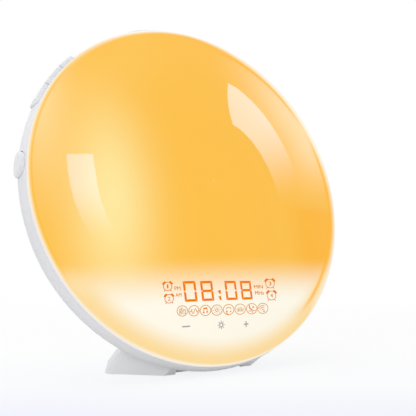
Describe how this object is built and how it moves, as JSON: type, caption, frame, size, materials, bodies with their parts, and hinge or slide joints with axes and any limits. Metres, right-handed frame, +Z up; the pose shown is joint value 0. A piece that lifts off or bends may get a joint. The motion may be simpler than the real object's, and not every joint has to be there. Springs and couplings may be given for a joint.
{
  "type": "sunrise alarm clock",
  "caption": "Round sunrise alarm clock: a domed light disc with a touch display, rim buttons and a rear speaker, leaning back on a hollow foot.",
  "frame": {"origin": "centre of the overall box, on the surface that the clock stands on", "axes": "+X to the viewer's right when facing the lens, -Y towards the viewer, +Z up"},
  "size_m": [0.1852, 0.0708, 0.1807],
  "materials": {
    "lens_glow": "glossy, translucent",
    "tray_white": "semi-gloss",
    "light_board_white": "satin",
    "led_yellow": "glossy",
    "film_pale": "satin",
    "mask_black": "matt",
    "board_green": "satin",
    "ribbon_grey": "satin",
    "lead_red": "satin",
    "contact_metal": "satin",
    "screw_steel": "satin",
    "chip_black": "matt",
    "can_steel": "satin",
    "capacitor_alu": "satin",
    "socket_white": "matt",
    "basket_black": "satin",
    "magnet_grey": "satin",
    "cone_paper": "matt",
    "rubber_black": "matt",
    "switch_black": "satin",
    "case_white": "satin",
    "button_white": "satin",
    "plunger_white": "satin",
    "cell_steel": "polished",
    "jack_black": "satin",
    "rubber_grey": "matt",
    "base_white": "matt"
  },
  "bodies": {
    "clock": {"aerial_grommet": "rubber_grey", "base_plate": "base_white", "base_screws": "screw_steel", "battery_contacts": "contact_metal", "board_screws": "screw_steel", "board_sockets": "socket_white", "capacitors": "capacitor_alu", "case_screws": "screw_steel", "coin_cell": "cell_steel", "control_chip": "chip_black", "dc_jack": "jack_black", "display_board": "board_green", "display_film": "film_pale", "display_frame": "mask_black", "display_leds": "led_yellow", "display_ribbon": "ribbon_grey", "foot": "case_white", "foot_screws": "screw_steel", "front_lens": "lens_glow", "jack_contact": "contact_metal", "key_switch_boards": "board_green", "light_board": "light_board_white", "light_lead": "ribbon_grey", "light_leds": "led_yellow", "main_board": "board_green", "oval_switch_boards": "board_green", "radio_module": "can_steel", "rear_cover": "case_white", "reflector_tray": "tray_white", "rubber_feet": "rubber_grey", "snooze_switch_board": "board_green", "speaker_frame": "basket_black", "speaker_gasket": "rubber_black", "speaker_lead": "lead_red", "speaker_magnet": "magnet_grey", "speaker_screws": "screw_steel", "speaker_surround": "rubber_black", "switch_screws": "screw_steel", "tact_switches": "switch_black", "touch_pads": "contact_metal"},
    "left_oval_button": {"left_oval": "button_white", "left_oval_plunger": "plunger_white"},
    "left_key_lower_button": {"left_key_lower": "button_white", "left_key_lower_plunger": "plunger_white"},
    "left_key_middle_button": {"left_key_middle": "button_white", "left_key_middle_plunger": "plunger_white"},
    "left_key_upper_button": {"left_key_upper": "button_white", "left_key_upper_plunger": "plunger_white"},
    "right_oval_button": {"right_oval": "button_white", "right_oval_plunger": "plunger_white"},
    "right_key_lower_button": {"right_key_lower": "button_white", "right_key_lower_plunger": "plunger_white"},
    "right_key_middle_button": {"right_key_middle": "button_white", "right_key_middle_plunger": "plunger_white"},
    "right_key_upper_button": {"right_key_upper": "button_white", "right_key_upper_plunger": "plunger_white"},
    "snooze_button": {"snooze_bar": "button_white", "snooze_plungers": "plunger_white"},
    "cone": {"speaker_cone": "cone_paper"},
    "hatch": {"battery_door": "case_white"}
  },
  "joints": [
    {"name": "left_oval_press", "type": "slide", "parent": "clock", "child": "left_oval_button", "axis": [0.9952, -0.0236, -0.0947], "range_m": [0, 0.0006], "stiffness_N_per_m": 800},
    {"name": "left_key_lower_press", "type": "slide", "parent": "clock", "child": "left_key_lower_button", "axis": [0.8759, -0.1167, -0.4682], "range_m": [0, 0.0006], "stiffness_N_per_m": 800},
    {"name": "left_key_middle_press", "type": "slide", "parent": "clock", "child": "left_key_middle_button", "axis": [0.7976, -0.1459, -0.5853], "range_m": [0, 0.0006], "stiffness_N_per_m": 800},
    {"name": "left_key_upper_press", "type": "slide", "parent": "clock", "child": "left_key_upper_button", "axis": [0.7126, -0.1697, -0.6807], "range_m": [0, 0.0006], "stiffness_N_per_m": 800},
    {"name": "right_oval_press", "type": "slide", "parent": "clock", "child": "right_oval_button", "axis": [-0.9952, -0.0236, -0.0947], "range_m": [0, 0.0006], "stiffness_N_per_m": 800},
    {"name": "right_key_lower_press", "type": "slide", "parent": "clock", "child": "right_key_lower_button", "axis": [-0.8759, -0.1167, -0.4682], "range_m": [0, 0.0006], "stiffness_N_per_m": 800},
    {"name": "right_key_middle_press", "type": "slide", "parent": "clock", "child": "right_key_middle_button", "axis": [-0.7976, -0.1459, -0.5853], "range_m": [0, 0.0006], "stiffness_N_per_m": 800},
    {"name": "right_key_upper_press", "type": "slide", "parent": "clock", "child": "right_key_upper_button", "axis": [-0.7126, -0.1697, -0.6807], "range_m": [0, 0.0006], "stiffness_N_per_m": 800},
    {"name": "snooze_press", "type": "slide", "parent": "clock", "child": "snooze_button", "axis": [0, -0.2419, -0.9703], "range_m": [0, 0.0006], "stiffness_N_per_m": 800},
    {"name": "cone_travel", "type": "slide", "parent": "clock", "child": "cone", "axis": [0, 0.9703, -0.2419], "range_m": [-0.0006, 0.0006], "stiffness_N_per_m": 800},
    {"name": "hatch_hinge", "type": "hinge", "parent": "clock", "child": "hatch", "pos_m": [0.0534, 0.01556, 0.0851], "axis": [0, -0.2419, -0.9703], "range_deg": [0, 95]}
  ]
}
